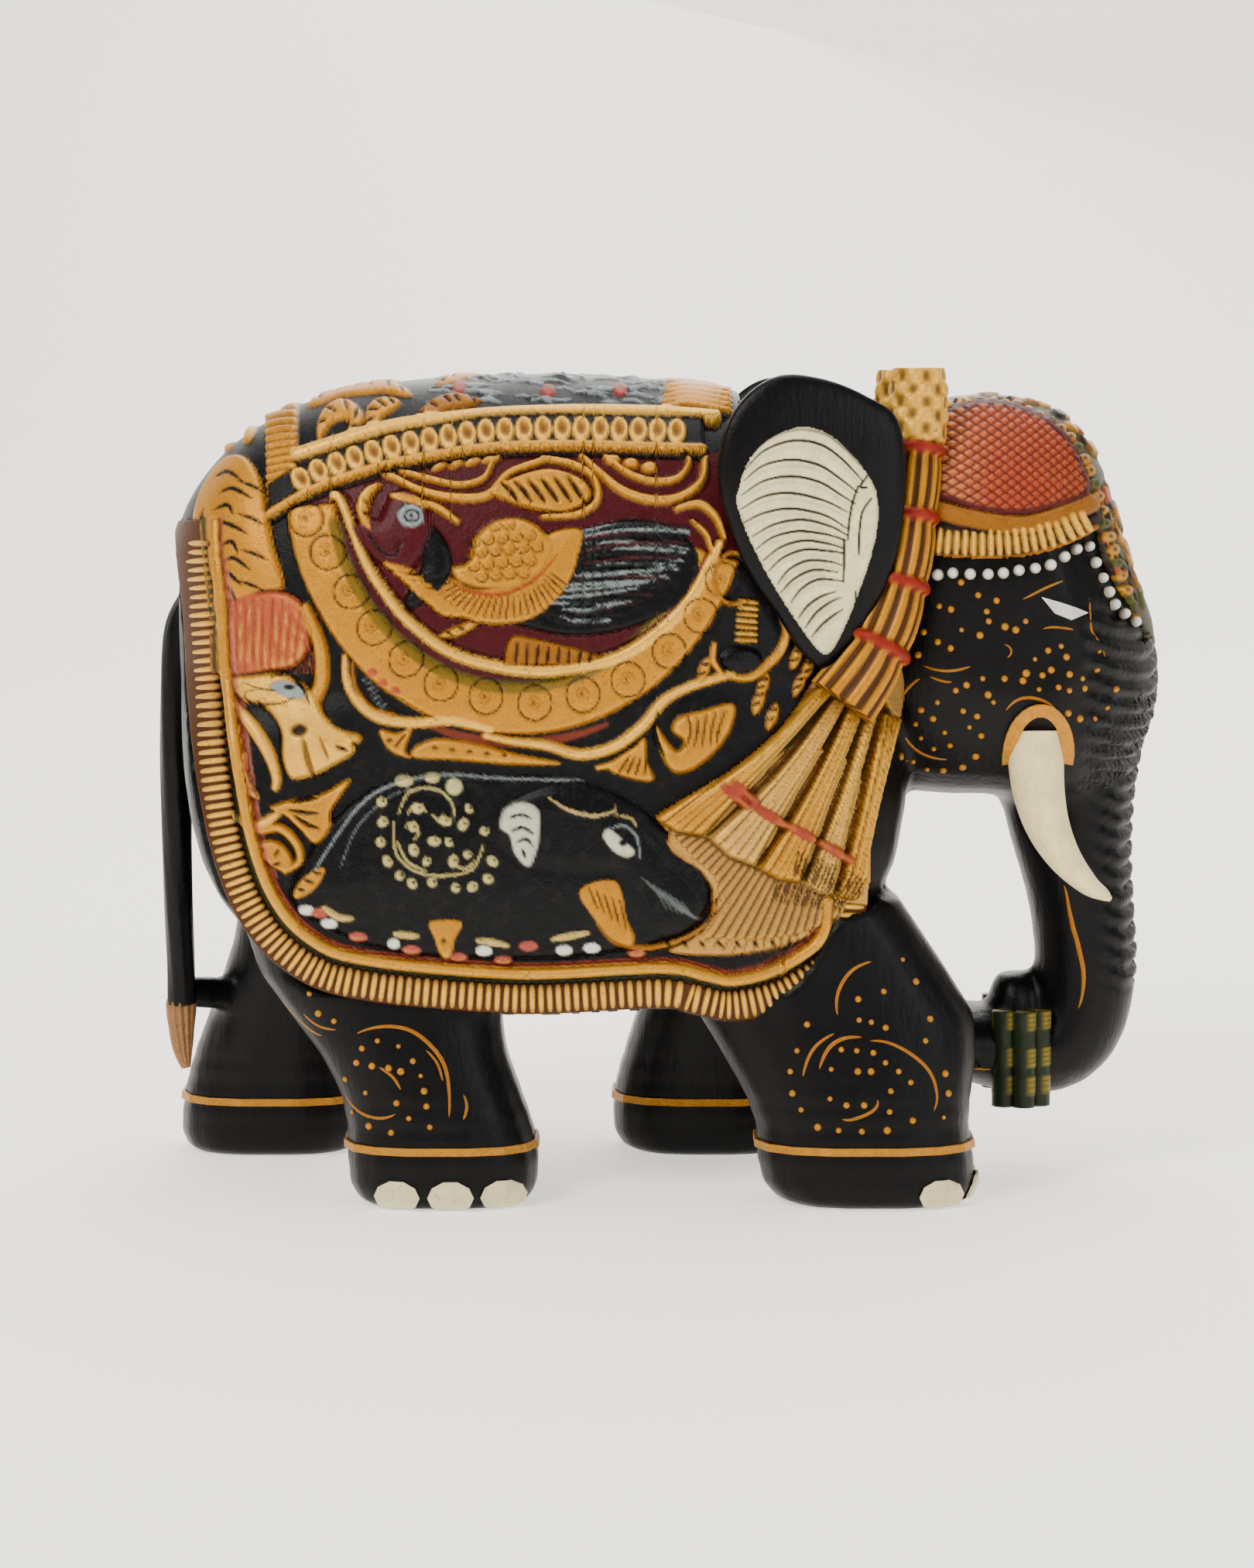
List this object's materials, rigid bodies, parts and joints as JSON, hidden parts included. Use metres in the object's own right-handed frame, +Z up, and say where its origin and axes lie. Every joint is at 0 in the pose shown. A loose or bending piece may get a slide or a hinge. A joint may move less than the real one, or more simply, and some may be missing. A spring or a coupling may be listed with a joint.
{
  "type": "carved wooden elephant figurine",
  "caption": "Standing elephant figurine in festival dress, with carved blanket, ears, tassels, tusks and curled trunk.",
  "frame": {"origin": "bottom centre of the bounding box, on the plane of the soles", "axes": "+X towards the trunk, +Y to the animal's left, +Z up"},
  "size_m": [0.1881, 0.08, 0.1521],
  "materials": {
    "black_lacquer": "black gloss paint over carved wood",
    "tail_gold": "ochre gold paint, worn",
    "blanket_ground": "dark maroon and black ground behind the relief",
    "fringe_gold": "ochre gold paint with brown in the grooves",
    "rail_gold": "ochre gold paint, smooth",
    "saddle_gold": "ochre gold, black and silver feathers",
    "gadroon_gold": "ochre gold paint, scooped",
    "crescent_gold": "ochre gold paint with incised rings",
    "bird_paint": "gold body, maroon head, black tail",
    "lion_paint": "pale gold with black stripes and a red mane",
    "black_relief": "black gloss paint with gilt scrollwork",
    "corner_gold": "brown gold paint, grooved",
    "tassel_gold": "ochre gold paint with red ties",
    "ear_cream": "cream paint with black veins",
    "cap_red": "red paint over a cross cut lattice",
    "cap_gold": "tan gold paint, fluted",
    "forehead_paint": "brown gold and green pattern",
    "pearl_white": "white paint drops",
    "eye_cream": "cream paint",
    "collar_gold": "ochre gold paint",
    "tusk_cream": "cream paint, satin",
    "anklet_gold": "gold brush line",
    "nail_cream": "cream paint",
    "cane_green": "dark green gloss with gold bands"
  },
  "bodies": {
    "root": {"body": "black_lacquer", "tail": "black_lacquer", "tail_tip": "tail_gold", "blanket": "blanket_ground", "fringe_right": "fringe_gold", "fringe_left": "fringe_gold", "hem_rail_right": "rail_gold", "hem_rail_left": "rail_gold", "saddle_cloth": "saddle_gold", "gadroon_band_right": "gadroon_gold", "gadroon_band_left": "gadroon_gold", "crescent_right": "crescent_gold", "crescent_left": "crescent_gold", "bird_right": "bird_paint", "bird_left": "bird_paint", "lion_right": "lion_paint", "lion_left": "lion_paint", "small_elephant_right": "black_relief", "small_elephant_left": "black_relief", "corner_cloth_right": "corner_gold", "corner_cloth_left": "corner_gold", "tassel_right": "tassel_gold", "tassel_left": "tassel_gold", "ear_right": "black_lacquer", "ear_left": "black_lacquer", "ear_lining_right": "ear_cream", "ear_lining_left": "ear_cream", "cap_right": "cap_red", "cap_left": "cap_red", "cap_fringe_right": "cap_gold", "cap_fringe_left": "cap_gold", "forehead_strip": "forehead_paint", "brow_pearls": "pearl_white", "eye_right": "eye_cream", "eye_left": "eye_cream", "tusk_collar_right": "collar_gold", "tusk_collar_left": "collar_gold", "tusk_right": "tusk_cream", "tusk_left": "tusk_cream", "anklets": "anklet_gold", "toenails": "nail_cream", "cane_bundle": "cane_green"}
  },
  "joints": []
}
